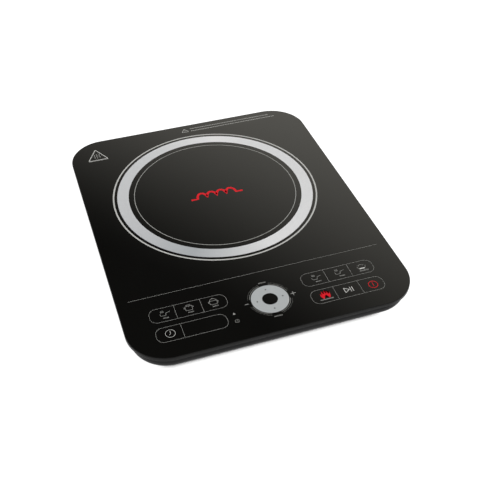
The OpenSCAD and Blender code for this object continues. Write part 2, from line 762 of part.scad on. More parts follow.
module fan_lead() {
    color("#b02a24") for (s = [-1, 1]) wire([for (p = fan_route) p + [0, 0, s * 0.9]], 1.3, 3, 6, [0.05, 0.02, 1]);
}

// One cambered blade: a slice of a wide arched shell, tilted about its radial line
module fan_blade() {
    reach = fan_bore_r - 1;
    intersection() {
        difference() {
            cylinder(r = reach, h = 11);
            translate([0, 0, -1]) cylinder(r = fan_hub_r - 0.4, h = 13);
        }
        translate([0, 0, 5.5]) rotate([38, 0, 0]) difference() {
            translate([fan_hub_r - 4, 0, -24]) rotate([0, 90, 0]) rotate(90) cylinder(r = 25, h = 30);
            translate([fan_hub_r - 5, 0, -24]) rotate([0, 90, 0]) rotate(90) cylinder(r = 23.8, h = 32);
        }
        translate([fan_hub_r - 3, -15, 0]) cube([30, 30, 11]);
    }
}

module fan_impeller() {
    color("#262627") translate([fan_x, fan_y, fan_z + 1.2]) {
        difference() {
            union() {
                cylinder(r = fan_hub_r, h = 11.4);
                for (k = [0:blade_n - 1]) rotate(360 * k / blade_n) fan_blade();
            }
            translate([0, 0, 1.6]) cylinder(r = fan_cup_r, h = 12);
            translate([0, 0, -1]) cylinder(r = shaft_r, h = 4);
        }
    }
}

module fan_magnet() {
    color("#4a4a4e") translate([fan_x, fan_y, fan_z + 2.8]) difference() {
        cylinder(r = fan_cup_r, h = 9.4);
        translate([0, 0, -1]) cylinder(r = fan_cup_r - fan_magnet_t, h = 12);
    }
}

module fan_shaft() {
    color("#d5d8da") translate([fan_x, fan_y, fan_z + 1.2]) cylinder(r = shaft_r, h = fan_t - 4);
}

// ---- Power board ----

module power_board() {
    color("#2f5a33") difference() {
        union() {
            translate([-half_board, bar_front, board_z]) cube([power_board_w, bar_rear - bar_front, board_t]);
            translate([leg_left, bar_rear - 1, board_z]) cube([half_board - leg_left, leg_rear - bar_rear + 1, board_t]);
        }
        at(board_screws_at) translate([0, 0, board_z - 1]) cylinder(r = hole_r, h = board_t + 2);
    }
}

module board_screws() {
    color("#b9bcc0") at(board_screws_at) translate([0, 0, board_top]) screw(5);
}

module heat_sink() {
    fins = 13;
    fin_t = 1.4;
    fin_rear = sink_y[1] - sink_ledge;
    gap = (fin_rear - sink_y[0] - fin_t) / (fins - 1);
    color("#b5b8bb") difference() {
        union() {
            translate([sink_x[0], sink_y[0], board_top])
                cube([sink_x[1] - sink_x[0], sink_y[1] - sink_y[0], sink_base_t]);
            for (k = [0:fins - 1]) translate([sink_x[0], sink_y[0] + k * gap, board_top + sink_base_t - eps])
                cube([sink_x[1] - sink_x[0], fin_t, sink_h - sink_base_t + eps]);
        }
        for (p = [transistor_at, rectifier_at]) translate([p.x, p.y, board_top + 0.4]) cylinder(r = pilot_r, h = 5);
    }
}

// A flat plastic-cased semiconductor on the sink's ledge, with its legs bent down to the board
module flat_package(at, size, legs, pitch) {
    z = board_top + sink_base_t;
    difference() {
        box_at([at.x, at.y, z], size);
        translate([at.x, at.y, z - 1]) cylinder(r = hole_r, h = size.z + 2);
    }
    for (k = [0:legs - 1]) translate([at.x + (k - (legs - 1) / 2) * pitch - 0.5, at.y + size.y / 2 - eps, 0]) {
        translate([0, 0, z + 1.6]) cube([1, sink_y[1] - at.y - size.y / 2 + 2, 0.7]);
        translate([0, sink_y[1] - at.y - size.y / 2 + 1.2, board_top]) cube([1, 0.8, z - board_top + 1.7]);
    }
}

module power_transistor() {
    color("#1d1d1f") flat_package(transistor_at, [16, 20, 5], 3, 5.4);
}

module bridge_rectifier() {
    color("#26262a") flat_package(rectifier_at, [28, 20, 4.6], 4, 7.5);
}

module heat_sink_screws() {
    z = board_top + sink_base_t;
    color("#b9bcc0") {
        translate([transistor_at.x, transistor_at.y, z + 5]) screw(7, head_t = 1.6);
        translate([rectifier_at.x, rectifier_at.y, z + 4.6]) screw(6.8, head_t = 1.6);
    }
}

choke_at = [-64, bar_y - 6];

module choke_core() {
    color("#3f6a8c") translate([choke_at.x, choke_at.y, board_top + 1.6]) difference() {
        cylinder(r = 12.4, h = 8.4);
        translate([0, 0, -1]) cylinder(r = 6.6, h = 12);
    }
}

// Square loops of thick wire round the toroid
module choke_winding() {
    color("#b8703a") translate([choke_at.x, choke_at.y, board_top]) for (k = [0:15])
        rotate(360 * k / 16 + 11) translate([0, -0.6, 0]) difference() {
            translate([5.2, 0, 0.3]) cube([8.5, 1.2, 11]);
            translate([6.5, -1, 1.5]) cube([6, 4, 8.6]);
        }
}

module film_capacitor(at, size) {
    box_at([at.x, at.y, board_top], size);
}

module resonant_capacitor() {
    color("#d9d6cc") film_capacitor([22, bar_y - 4], [32, 22, capacitor_h]);
}

module filter_capacitor() {
    color("#d9d6cc") film_capacitor([-20, bar_y - 6], [32, 18, capacitor_h]);
}

module mains_capacitor() {
    color("#e0b83a") film_capacitor([60, bar_y - 6], [26, 16, 11]);
}

module supply_capacitors() {
    color("#27303c") for (dy = [20, 34]) translate([-101, bar_y + dy, board_top + 6.1]) rotate([0, 90, 0])
        difference() {
            cylinder(r = 6, h = 20);
            translate([0, 0, 1.6]) difference() {
                cylinder(r = 7, h = 0.8);
                translate([0, 0, -1]) cylinder(r = 5.6, h = 3);
            }
        }
}

module supply_transformer() {
    at = [-62, bar_y + 24];
    color("#c9a93a") {
        box_at([at.x, at.y, board_top], [20, 14, 12]);
        box_at([at.x, at.y, board_top + 2.6], [15, 20, 6.8]);
    }
}

module fuse() {
    at = [96, bar_y + 8];
    color("#d9d9d9") {
        translate([at.x, at.y - 10, board_top + 4.2]) rotate([-90, 0, 0]) cylinder(r = 2.6, h = 20);
        for (s = [-1, 1]) difference() {
            box_at([at.x, at.y + s * 7.5, board_top], [8, 4, 6.2]);
            box_at([at.x, at.y + s * 7.5, board_top + 4.8], [4, 5, 3]);
        }
    }
}

module buzzer() {
    color("#151515") translate([-92, bar_y - 4, board_top]) difference() {
        cylinder(r = 6, h = 7);
        translate([0, 0, 5]) cylinder(r = 1, h = 3);
    }
}

module terminal_block() {
    at = [80, leg_rear - 12];
    color("#3c6b45") difference() {
        box_at([at.x, at.y, board_top], [24, 12, 10]);
        for (k = [-1:1]) translate([at.x + 8 * k, at.y, board_top + 6]) cylinder(r = 2.2, h = 5);
        for (k = [-1:1]) translate([at.x + 8 * k, at.y + 1, board_top + 3]) rotate([-90, 0, 0])
            cylinder(r = 1.8, h = 6);
    }
}

module coil_terminals() {
    color("#c9a24a") at(terminals_at) translate([0, 0, board_top]) difference() {
        cylinder(r = 4, h = 8);
        for (a = [0, 90]) rotate(a) translate([-2.6, -0.4, 7]) cube([5.2, 0.8, 2]);
    }
}

module lead_connectors() {
    color("#ece9e0") for (p = [sensor_plug_at, fan_plug_at])
        box_at([p.x, p.y, board_top], [7, 6, 6]);
}

// ---- Control board ----

module control_carrier() {
    color("#2a2a2c") translate([0, control_y, carrier_z]) difference() {
        union() {
            rounded_slab(carrier_w, carrier_d, carrier_t, 6);
            difference() {
                rounded_slab(carrier_w, carrier_d, carrier_rim_h, 6);
                translate([0, 0, -1]) rounded_slab(carrier_w - 2 * carrier_rim_t, carrier_d - 2 * carrier_rim_t,
                                                   carrier_rim_h + 2, 5);
            }
            for (p = carrier_posts) translate([p.x, p.y - control_y, 0])
                cylinder(r = carrier_post_r, h = control_z - carrier_z);
        }
        for (k = [-3:3]) translate([k * 29 - 11, -carrier_d / 2 + 6, -1]) cube([22, carrier_d - 12, carrier_t + 2]);
        for (p = carrier_posts) translate([p.x, p.y - control_y, -1]) cylinder(r = hole_r, h = 10);
    }
}

module control_board() {
    color("#2f5a33") difference() {
        translate([0, control_y, control_z]) rounded_slab(control_board_w, control_board_d, board_t, 4.6);
        at(carrier_posts) translate([0, 0, control_z - 1]) cylinder(r = hole_r, h = board_t + 2);
    }
}

module control_screws() {
    color("#b9bcc0") at(carrier_posts) translate([0, 0, control_top]) screw(control_top - carrier_z + 6);
}

module touch_springs() {
    color("#c9ccd0") at(keys) translate([0, 0, control_top + fit])
        wire_spring(3.6, 0.8, z_glass - control_top - 2 * fit, 3, 4, 8);
}

module controller_chip() {
    color("#161618") box_at([30, control_y + 2, control_top], [8, 16, 2.4]);
}

module display_module() {
    z = control_top;
    color("#202022") difference() {
        box_at([display_at.x, display_at.y, z], [31, 12, 7.2]);
        for (k = [0:3]) box_at([display_at.x - 11.25 + 7.5 * k, display_at.y, z + 6.9], [4.6, 8, 1]);
    }
}

module indicator_lamps() {
    color("#d8453a") at(lamp_at) translate([0, 0, control_top]) {
        cylinder(r = 1.5, h = 4);
        translate([0, 0, 4 - eps]) cylinder(r1 = 1.5, r2 = 0.9, h = 1);
        cylinder(r = 1.9, h = 0.8);
    }
}

// Flat cable from the rear of the control board down to the power board, with a plug at each end
module ribbon_cable() {
    rear = control_y + control_board_d / 2;
    top = control_z + carrier_rim_h + 1.2;
    drop_y = rear + 9;
    ribbon_t = 0.9;
    color("#dcdad2") {
        box_at([ribbon_x, rear - 5, control_top], [16, 6, top - control_top]);
        box_at([ribbon_x, drop_y + 8, board_top], [16, 6, 6]);
        translate([ribbon_x - 6, 0, 0]) rotate([90, 0, 90]) linear_extrude(12) difference() {
            union() {
                translate([rear - 6, top - eps]) square([drop_y - rear + 3, ribbon_t]);
                translate([drop_y - 3, top - 3]) intersection() {
                    difference() {
                        circle(3 + ribbon_t);
                        circle(3);
                    }
                    square(10);
                }
                translate([drop_y, board_top + 8]) square([ribbon_t, top - 11 - board_top]);
                translate([drop_y + ribbon_t + 3, board_top + 8]) intersection() {
                    difference() {
                        circle(3 + ribbon_t);
                        circle(3);
                    }
                    translate([-10, -10]) square(10);
                }
                translate([drop_y + ribbon_t + 3, board_top + 8 - 3 - ribbon_t]) square([2, ribbon_t]);
            }
        }
    }
}

glass_top();
glass_seal();
top_frame();
bottom_tray();
tray_screws();
foot(-1, -1);  // foot_front_left
foot(1, -1);  // foot_front_right
foot(-1, 1);  // foot_rear_left
foot(1, 1);  // foot_rear_right
cord_gland();
cord_clamp();
clamp_screws();
mica_sheet();
coil_winding();
coil_leads();
coil_former();
ferrite_bars();
coil_spring(post_angles[0]);  // coil_spring_left
coil_spring(post_angles[1]);  // coil_spring_right
coil_spring(post_angles[2]);  // coil_spring_front
coil_screws();
sensor_bracket();
sensor_spring();
temperature_sensor();
sensor_lead();
shield_plate();
fan_frame();
fan_stator();
fan_bearing();
fan_screws();
fan_lead();
fan_impeller();
fan_magnet();
fan_shaft();
power_board();
board_screws();
heat_sink();
power_transistor();
bridge_rectifier();
heat_sink_screws();
choke_core();
choke_winding();
resonant_capacitor();
filter_capacitor();
mains_capacitor();
supply_capacitors();
supply_transformer();
fuse();
buzzer();
terminal_block();
coil_terminals();
lead_connectors();
control_board();
control_carrier();
control_screws();
touch_springs();
controller_chip();
display_module();
indicator_lamps();
ribbon_cable();
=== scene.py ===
"""Looks of the portable induction cooktop: glass plate, printed panel, finishes, studio."""

import math

import bmesh
import bpy
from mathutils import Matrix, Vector


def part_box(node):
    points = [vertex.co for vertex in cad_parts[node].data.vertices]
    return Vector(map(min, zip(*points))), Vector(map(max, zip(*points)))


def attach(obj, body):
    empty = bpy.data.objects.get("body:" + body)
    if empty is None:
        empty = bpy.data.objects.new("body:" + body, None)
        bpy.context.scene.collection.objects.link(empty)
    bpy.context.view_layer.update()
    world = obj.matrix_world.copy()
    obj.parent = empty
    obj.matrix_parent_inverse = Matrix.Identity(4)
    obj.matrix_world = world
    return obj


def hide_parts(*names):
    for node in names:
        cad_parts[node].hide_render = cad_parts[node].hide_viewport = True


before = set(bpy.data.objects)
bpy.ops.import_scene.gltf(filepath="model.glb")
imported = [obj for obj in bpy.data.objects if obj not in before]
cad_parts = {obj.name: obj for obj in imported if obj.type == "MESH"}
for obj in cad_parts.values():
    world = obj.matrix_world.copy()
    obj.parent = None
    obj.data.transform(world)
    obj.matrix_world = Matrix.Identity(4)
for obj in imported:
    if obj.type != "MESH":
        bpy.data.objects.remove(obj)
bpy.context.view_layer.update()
MM = 0.001
BODY = "cooktop"

# ---------------------------------------------------------------- sizes, in millimetres, from the frame

glass_low, glass_high = (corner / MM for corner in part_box("glass_top"))
GLASS_W = glass_high.x - glass_low.x
GLASS_D = glass_high.y - glass_low.y
GLASS_TOP = glass_high.z
GLASS_BOTTOM = glass_low.z
CORNER_R = 39.0
CORNER_STEPS = 32
ARRIS_R = 0.6  # rounded edge of the glass
ARRIS_STEPS = 5

mica_low, mica_high = (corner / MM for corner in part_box("mica_sheet"))
INK = 0.03  # printed ink stands this proud of the glass
SHIFT = -0.7  # the print's offset in x from the middle of the glass
PANEL = glass_low.y + 1.5  # line that the panel's print is set out from
REAR = glass_high.y - 0.5  # line that the rear print is set out from
ZONE = Vector(((mica_low.x + mica_high.x) / 2, (mica_low.y + mica_high.y) / 2))
RING = ZONE + Vector((0, -0.9))  # middle of the printed rings
DIAL = Vector((0.2, PANEL + 39.5))

# ---------------------------------------------------------------- shader expressions


class Wire:
    """A socket that takes part in Python expressions; each operator adds its Math node."""

    def __init__(self, finish, socket):
        self.finish, self.socket = finish, socket

    def math(self, operation, *values):
        sockets = dict(enumerate(values))
        return self.finish.node("ShaderNodeMath", {"operation": operation}, sockets)

    def __add__(self, other):
        return self.math("ADD", self, other)

    __radd__ = __add__

    def __mul__(self, other):
        return self.math("MULTIPLY", self, other)

    __rmul__ = __mul__

    def __sub__(self, other):
        return self.math("SUBTRACT", self, other)

    def __rsub__(self, other):
        return self.math("SUBTRACT", other, self)

    def __truediv__(self, other):
        return self.math("DIVIDE", self, other)

    def __rtruediv__(self, other):
        return self.math("DIVIDE", other, self)

    def ramp(self, low, high, to_low=0.0, to_high=1.0):
        """This value taken from low..high to to_low..to_high by a smooth step, and held at the ends."""
        sockets = {"Value": self, "From Min": low, "From Max": high, "To Min": to_low, "To Max": to_high}
        return self.finish.node("ShaderNodeMapRange", {"interpolation_type": "SMOOTHSTEP"}, sockets)


class Finish:
    """A material, or the world, built from Python expressions."""

    def __init__(self, name, **shader):
        self.data = bpy.data.materials.new(name)
        self.data.use_nodes = True
        self.tree = self.data.node_tree
        self.tree.nodes.clear()
        output = self.tree.nodes.new("ShaderNodeOutputMaterial")
        self.shader = self.tree.nodes.new("ShaderNodeBsdfPrincipled")
        self.tree.links.new(self.shader.outputs[0], output.inputs["Surface"])
        self.set(**shader)
        self.place = None

    @staticmethod
    def find(sockets, key):
        if isinstance(key, int):
            return sockets[key]
        for socket in sockets:
            if socket.identifier == key:
                return socket
        return sockets[key]

    def plug(self, socket, value):
        if isinstance(value, Wire):
            self.tree.links.new(value.socket, socket)
        elif hasattr(socket.default_value, "__len__") and len(socket.default_value) == 4:
            socket.default_value = (*value[:3], value[3] if len(value) > 3 else 1.0)
        else:
            socket.default_value = value

    def node(self, kind, settings=None, sockets=None, output=0):
        """Adds one node: its settings first, then its sockets' values or links. Gives one of its outputs."""
        made = self.tree.nodes.new(kind)
        for key, value in (settings or {}).items():
            if key == "stops":
                ramp = made.color_ramp
                while len(ramp.elements) > 1:
                    ramp.elements.remove(ramp.elements[-1])
                for number, (position, colour) in enumerate(value):
                    stop = ramp.elements[0] if number == 0 else ramp.elements.new(position)
                    stop.position, stop.color = position, (*colour, 1.0)
            else:
                setattr(made, key, value)
        for key, value in (sockets or {}).items():
            self.plug(self.find(made.inputs, key), value)
        return Wire(self, self.find(made.outputs, output))

    def set(self, **values):
        for key, value in values.items():
            self.plug(self.shader.inputs[key.replace("_", " ")], value)

    def spot(self):
        """Object coordinates in millimetres."""
        if self.place is None:
            here = self.node("ShaderNodeTexCoord", output="Object")
            self.place = self.node("ShaderNodeVectorMath", {"operation": "SCALE"}, {0: here, "Scale": 1000.0})
        return self.place

    def axes(self):
        split = self.node("ShaderNodeSeparateXYZ", sockets={0: self.spot()})
        outputs = split.socket.node.outputs
        return [Wire(self, outputs[number]) for number in range(3)]

    def stretched(self, x, y, z):
        return self.node("ShaderNodeVectorMath", {"operation": "MULTIPLY"}, {0: self.spot(), 1: (x, y, z)})

    def noise(self, size, detail=2.0, roughness=0.5, at=None):
        """Noise with grains of about that many millimetres."""
        sockets = {"Vector": at or self.spot(), "Scale": 1.0 / size, "Detail": detail, "Roughness": roughness}
        return self.node("ShaderNodeTexNoise", sockets=sockets)

    def cells(self, size, output="Distance"):
        """Cells of about that many millimetres: the distance from the middle of each, or its own colour."""
        sockets = {"Vector": self.spot(), "Scale": 1.0 / size}
        return self.node("ShaderNodeTexVoronoi", {"feature": "F1"}, sockets, output)

    def blend(self, factor, first, second):
        """first where factor is 0 and second where it is 1; both are colours."""
        sockets = {"Factor_Float": factor, "A_Color": first, "B_Color": second}
        return self.node("ShaderNodeMix", {"data_type": "RGBA"}, sockets, "Result_Color")

    def bump(self, height, distance, strength=1.0):
        """Feeds the shader's normal; distance is in millimetres."""
        sockets = {"Height": height, "Distance": distance * MM, "Strength": strength}
        self.set(Normal=self.node("ShaderNodeBump", sockets=sockets, output="Normal"))


def shade(colour, factor):
    return tuple(channel * factor for channel in colour)


# ---------------------------------------------------------------- finishes of the visible case


def ceramic_glass():
    f = Finish("ceramic_glass", IOR=1.5, Specular_IOR_Level=0.5)
    smear = f.noise(38.0, 3.0, 0.55, at=f.stretched(1.0, 0.45, 1.0))
    clean, smeared = (0.0044, 0.0043, 0.0039), (0.0049, 0.0048, 0.0044)
    f.set(Base_Color=f.blend(smear.ramp(0.35, 0.75), clean, smeared))
    f.set(Roughness=smear.ramp(0.35, 0.75, 0.02, 0.05))
    return f.data


def ground_edge():
    """Fine-ground edge of the glass, seen against its dark underside."""
    f = Finish("ground_edge", IOR=1.5, Specular_IOR_Level=0.08)
    streak = f.noise(2.5, 3.0, 0.6, at=f.stretched(1.0, 1.0, 8.0))
    dust = f.noise(0.5, 1.0)
    f.set(Base_Color=f.blend(streak.ramp(0.3, 0.7), (0.011, 0.011, 0.011), (0.016, 0.016, 0.0156)))
    f.set(Roughness=streak.ramp(0.3, 0.7, 0.26, 0.36))
    f.bump(dust, 0.015, 0.4)
    return f.data


def case_plastic():
    """Black moulded plastic with a fine spark-eroded grain."""
    f = Finish("case_plastic", IOR=1.48, Specular_IOR_Level=0.08)
    grain = f.noise(0.55, 4.0, 0.6)
    cloud = f.noise(22.0, 2.0)
    f.set(Base_Color=f.blend(cloud.ramp(0.3, 0.7), (0.003, 0.003, 0.0032), (0.005, 0.005, 0.0052)))
    f.set(Roughness=grain.ramp(0.3, 0.7, 0.34, 0.5))
    f.bump(grain, 0.035, 0.6)
    return f.data


def rubber():
    f = Finish("soft_rubber", Specular_IOR_Level=0.3)
    grain = f.noise(0.8, 4.0, 0.65)
    f.set(Base_Color=f.blend(grain.ramp(0.3, 0.7), (0.011, 0.011, 0.011), (0.026, 0.026, 0.025)))
    f.set(Roughness=grain.ramp(0.3, 0.7, 0.62, 0.85))
    f.bump(grain, 0.05, 0.5)
    return f.data


# ---------------------------------------------------------------- printed inks


def silver_ink():
    """Metallic ink with a painted sheen: lighter and darker sectors round the ring stand in for how the light
    falls on the band.
    """
    f = Finish("silver_ink", Specular_IOR_Level=0.4)
    x, y, _ = f.axes()
    angle = f.node("ShaderNodeMath", {"operation": "ARCTAN2"}, {0: y - RING.y, 1: x - RING.x})
    turn = f.node("ShaderNodeMath", {"operation": "FRACT"}, {0: angle / math.tau + 1})
    # Angle round the ring in degrees, and how light the painted sheen is there
    painted_sheens = ((0, 0.78), (45, 0.78), (75, 1.0), (105, 0.66), (125, 0.54), (180, 0.466), (210, 0.306),
              (240, 0.0), (268, 0.55), (285, 0.9), (300, 0.886), (330, 0.81), (360, 0.78))
    stops = [(degrees / 360, (painted_sheen,) * 3) for degrees, painted_sheen in painted_sheens]
    painted_sheen = f.node("ShaderNodeValToRGB", {"stops": stops}, {"Fac": turn}, "Color")
    flake = f.node("ShaderNodeSeparateColor", sockets={0: f.cells(0.55, output="Color")})
    grain = f.noise(1.5, 3.0, 0.6)
    mix = painted_sheen * 0.9 + 0.1 * (flake * 0.45 + grain * 0.55).ramp(0.25, 0.75)
    # The band's colour at the darkest and lightest of the painted sheen: painted shade and painted highlight
    painted_dim_tone, facing = (0.41, 0.435, 0.46), (0.85, 0.85, 0.865)
    f.set(Base_Color=f.blend(mix, painted_dim_tone, facing))
    f.set(Metallic=flake.ramp(0.2, 0.9, 0.12, 0.3), Roughness=grain.ramp(0.3, 0.7, 0.42, 0.52))
    f.bump(flake, 0.006, 0.4)
    return f.data


def flat_ink(name, colour, variation=0.12):
    """Opaque enamel ink with the slight mottle of a screen print."""
    f = Finish(name, Specular_IOR_Level=0.2)
    mottle = f.noise(0.7, 3.0, 0.6)
    thin, thick = shade(colour, 1 - variation), shade(colour, 1 + variation)
    f.set(Base_Color=f.blend(mottle.ramp(0.3, 0.7), thin, thick))
    f.set(Roughness=mottle.ramp(0.3, 0.7, 0.38, 0.55))
    return f.data


# ---------------------------------------------------------------- finishes of the inner parts


def moulding(name, colour, grain_size=0.7, roughness=0.5, depth=0.02):
    """Moulded or cast part: faint cloudiness in the colour and a fine grain."""
    f = Finish(name)
    grain, cloud = f.noise(grain_size, 4.0, 0.6), f.noise(grain_size * 18, 2.0)
    mix = (grain * 0.4 + cloud * 0.6).ramp(0.3, 0.7)
    f.set(Base_Color=f.blend(mix, shade(colour, 0.8), shade(colour, 1.15)))
    f.set(Roughness=grain.ramp(0.3, 0.7, roughness - 0.08, roughness + 0.08))
    f.bump(grain, depth, 0.5)
    return f.data


def metal(name, colour, lay, roughness):
    """Worked metal, with scratches drawn out along the direction of work."""
    f = Finish(name, Metallic=1.0)
    lines = f.noise(0.4, 3.0, 0.6, at=f.stretched(*lay))
    stain = f.noise(9.0, 3.0)
    f.set(Base_Color=f.blend(stain.ramp(0.3, 0.75), shade(colour, 0.85), shade(colour, 1.05)))
    f.set(Roughness=(lines * 0.5 + stain * 0.5).ramp(0.3, 0.7, roughness - 0.08, roughness + 0.12))
    f.bump(lines, 0.01, 0.4)
    return f.data


def litz(name, colour):
    """Bundled lacquered strands, seen as a tight diagonal twist."""
    f = Finish(name, Metallic=0.85)
    sockets = {"Vector": f.spot(), "Scale": 0.9, "Distortion": 6.0, "Detail": 2.0, "Detail Scale": 2.5}
    twist = f.node("ShaderNodeTexWave", {"wave_type": "RINGS", "rings_direction": "Z"}, sockets, "Fac")
    tarnish = f.noise(7.0, 3.0)
    mix = (twist * 0.6 + tarnish * 0.4).ramp(0.25, 0.75)
    f.set(Base_Color=f.blend(mix, shade(colour, 0.55), shade(colour, 1.1)))
    f.set(Roughness=twist.ramp(0.2, 0.8, 0.28, 0.5))
    f.bump(twist, 0.12, 0.7)
    return f.data


def circuit_board():
    """Green solder resist over copper tracks, with tinned pads."""
    f = Finish("circuit_board", Coat_Roughness=0.2)
    tracks = f.node(
        "ShaderNodeTexBrick",
        {"offset": 0.37, "squash": 1.6},
        {"Vector": f.spot(), "Scale": 0.22, "Mortar Size": 0.035, "Mortar Smooth": 0.3,
         "Color1": (0, 0, 0, 1), "Color2": (0, 0, 0, 1), "Mortar": (1, 1, 1, 1)},
        "Fac",
    )
    pads = 1 - f.cells(4.2).ramp(0.14, 0.18)
    weave = f.noise(1.1, 3.0)
    resist = f.blend(tracks, (0.018, 0.085, 0.028), (0.035, 0.17, 0.055))
    f.set(Base_Color=f.blend(pads, resist, (0.62, 0.63, 0.64)))
    f.set(Metallic=pads * 0.9, Roughness=(weave * (1 - pads)).ramp(0.0, 0.7, 0.24, 0.42))
    f.bump(tracks + pads * 0.6, 0.04, 0.7)
    return f.data


def mica():
    f = Finish("mica_sheet_finish")
    flakes, cloud = f.cells(6.0, output="Color"), f.noise(3.0, 5.0, 0.65)
    tone = f.node("ShaderNodeSeparateColor", sockets={0: flakes})
    mix = (tone * 0.5 + cloud * 0.5).ramp(0.2, 0.8)
    f.set(Base_Color=f.blend(mix, (0.36, 0.27, 0.15), (0.62, 0.52, 0.34)))
    f.set(Metallic=tone.ramp(0.0, 1.0, 0.0, 0.3), Roughness=cloud.ramp(0.3, 0.7, 0.3, 0.6))
    f.bump(cloud, 0.05, 0.6)
    return f.data


def braided(name, colour):
    """Woven sleeve over a lead."""
    f = Finish(name)
    weave, fuzz = f.cells(0.8), f.noise(0.4, 3.0)
    mix = (weave * 0.7 + fuzz * 0.3).ramp(0.1, 0.7)
    f.set(Base_Color=f.blend(mix, shade(colour, 0.6), shade(colour, 1.2)))
    f.set(Roughness=fuzz.ramp(0.3, 0.7, 0.55, 0.8))
    f.bump(weave, 0.08, 0.8)
    return f.data


finishes = {
    "case_plastic": case_plastic(),
    "soft_rubber": rubber(),
    "silver_ink": silver_ink(),
    "grey_ink": flat_ink("grey_ink", (0.36, 0.36, 0.345)),
    "pale_ink": flat_ink("pale_ink", (0.62, 0.62, 0.60)),
    "rim_ink": flat_ink("rim_ink", (0.50, 0.50, 0.485)),
    "red_ink": flat_ink("red_ink", (0.66, 0.006, 0.016)),
    "dark_ink": flat_ink("dark_ink", (0.03, 0.03, 0.03)),
    "dial_ink": flat_ink("dial_ink", (0.405, 0.425, 0.432), 0.05),
    "ceramic_glass": ceramic_glass(),
    "ground_edge": ground_edge(),
    "steel": metal("steel", (0.62, 0.63, 0.65), (1.0, 1.0, 0.2), 0.3),
    "blackened_steel": metal("blackened_steel", (0.06, 0.06, 0.063), (1.0, 1.0, 0.2), 0.42),
    "spring_wire": metal("spring_wire", (0.7, 0.71, 0.73), (0.3, 0.3, 1.0), 0.22),
    "rolled_aluminium": metal("rolled_aluminium", (0.74, 0.75, 0.77), (0.08, 1.0, 1.0), 0.3),
    "extruded_aluminium": metal("extruded_aluminium", (0.6, 0.61, 0.63), (0.06, 1.0, 1.0), 0.38),
    "brass": metal("brass", (0.72, 0.5, 0.2), (1.0, 1.0, 0.3), 0.3),
    "bronze": metal("bronze", (0.55, 0.4, 0.2), (1.0, 1.0, 1.0), 0.42),
    "litz_copper": litz("litz_copper", (0.74, 0.38, 0.19)),
    "motor_copper": litz("motor_copper", (0.6, 0.28, 0.13)),
    "circuit_board": circuit_board(),
    "mica": mica(),
    "lead_sleeve": braided("lead_sleeve", (0.4, 0.1, 0.06)),
    "lead_red": moulding("lead_red", (0.5, 0.03, 0.02), 0.5, 0.4),
    "lead_white": moulding("lead_white", (0.68, 0.68, 0.65), 0.5, 0.4),
    "former_plastic": moulding("former_plastic", (0.045, 0.045, 0.048), 0.8, 0.5, 0.03),
    "fan_plastic": moulding("fan_plastic", (0.022, 0.022, 0.024), 0.5, 0.42),
    "nylon": moulding("nylon", (0.74, 0.72, 0.65), 0.6, 0.45),
    "ferrite": moulding("ferrite", (0.06, 0.06, 0.066), 0.4, 0.62, 0.04),
    "epoxy": moulding("epoxy", (0.018, 0.018, 0.02), 0.3, 0.4),
    "film_case": moulding("film_case", (0.66, 0.63, 0.54), 0.9, 0.35),
    "yellow_case": moulding("yellow_case", (0.74, 0.45, 0.05), 0.9, 0.3),
    "can_sleeve": moulding("can_sleeve", (0.03, 0.045, 0.08), 0.6, 0.28),
    "blue_coating": moulding("blue_coating", (0.05, 0.18, 0.34), 1.0, 0.35),
    "tape": moulding("tape", (0.7, 0.52, 0.08), 1.4, 0.4),
    "fuse_glass": moulding("fuse_glass", (0.7, 0.71, 0.7), 1.4, 0.15),
    "terminal_green": moulding("terminal_green", (0.05, 0.26, 0.09), 0.6, 0.42),
    "red_lens": moulding("red_lens", (0.6, 0.03, 0.02), 0.9, 0.2),
    "ribbon": moulding("ribbon", (0.6, 0.59, 0.54), 1.2, 0.45),
}

finish_nodes = {
    "soft_rubber": (
        "glass_seal foot_front_left foot_front_right foot_rear_left foot_rear_right cord_gland"
    ),
    "case_plastic": "top_frame bottom_tray",
    "blackened_steel": "tray_screws",
    "nylon": "cord_clamp sensor_bracket lead_connectors",
    "steel": (
        "clamp_screws coil_screws temperature_sensor fan_screws fan_shaft board_screws "
        "heat_sink_screws control_screws"
    ),
    "mica": "mica_sheet",
    "litz_copper": "coil_winding choke_winding",
    "lead_sleeve": "coil_leads",
    "former_plastic": "coil_former control_carrier",
    "ferrite": "ferrite_bars fan_magnet",
    "spring_wire": "coil_spring_left coil_spring_right coil_spring_front sensor_spring touch_springs",
    "lead_white": "sensor_lead",
    "rolled_aluminium": "shield_plate",
    "fan_plastic": "fan_frame fan_impeller",
    "motor_copper": "fan_stator",
    "bronze": "fan_bearing",
    "lead_red": "fan_lead",
    "circuit_board": "power_board control_board",
    "extruded_aluminium": "heat_sink",
    "epoxy": "power_transistor bridge_rectifier buzzer controller_chip display_module",
    "blue_coating": "choke_core",
    "film_case": "resonant_capacitor filter_capacitor",
    "yellow_case": "mains_capacitor",
    "can_sleeve": "supply_capacitors",
    "tape": "supply_transformer",
    "fuse_glass": "fuse",
    "terminal_green": "terminal_block",
    "brass": "coil_terminals",
    "red_lens": "indicator_lamps",
    "ribbon": "ribbon_cable",
}
for finish, nodes in finish_nodes.items():
    for name in nodes.split():
        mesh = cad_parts[name].data
        mesh.materials.clear()
        mesh.materials.append(finishes[finish])

# ---------------------------------------------------------------- mesh helpers


def piece(name, mesh, finish, replaces=()):
    """Puts a mesh, already in place, on the cooktop body."""
    made = bpy.data.objects.new(name, mesh)
    bpy.context.scene.collection.objects.link(made)
    if finish and not mesh.materials:
        mesh.materials.append(finishes[finish])
    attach(made, BODY)
    if replaces:
        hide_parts(*replaces)


def outline(half_w, half_d, radius, steps):
    """A rounded rectangle's points, anticlockwise."""
    points = []
    for quarter, (sx, sy) in enumerate(((1, 1), (-1, 1), (-1, -1), (1, -1))):
        for step in range(steps + 1):
            angle = math.radians(90 * (quarter + step / steps))
            points.append((sx * (half_w - radius) + radius * math.cos(angle),
                           sy * (half_d - radius) + radius * math.sin(angle)))
    return points


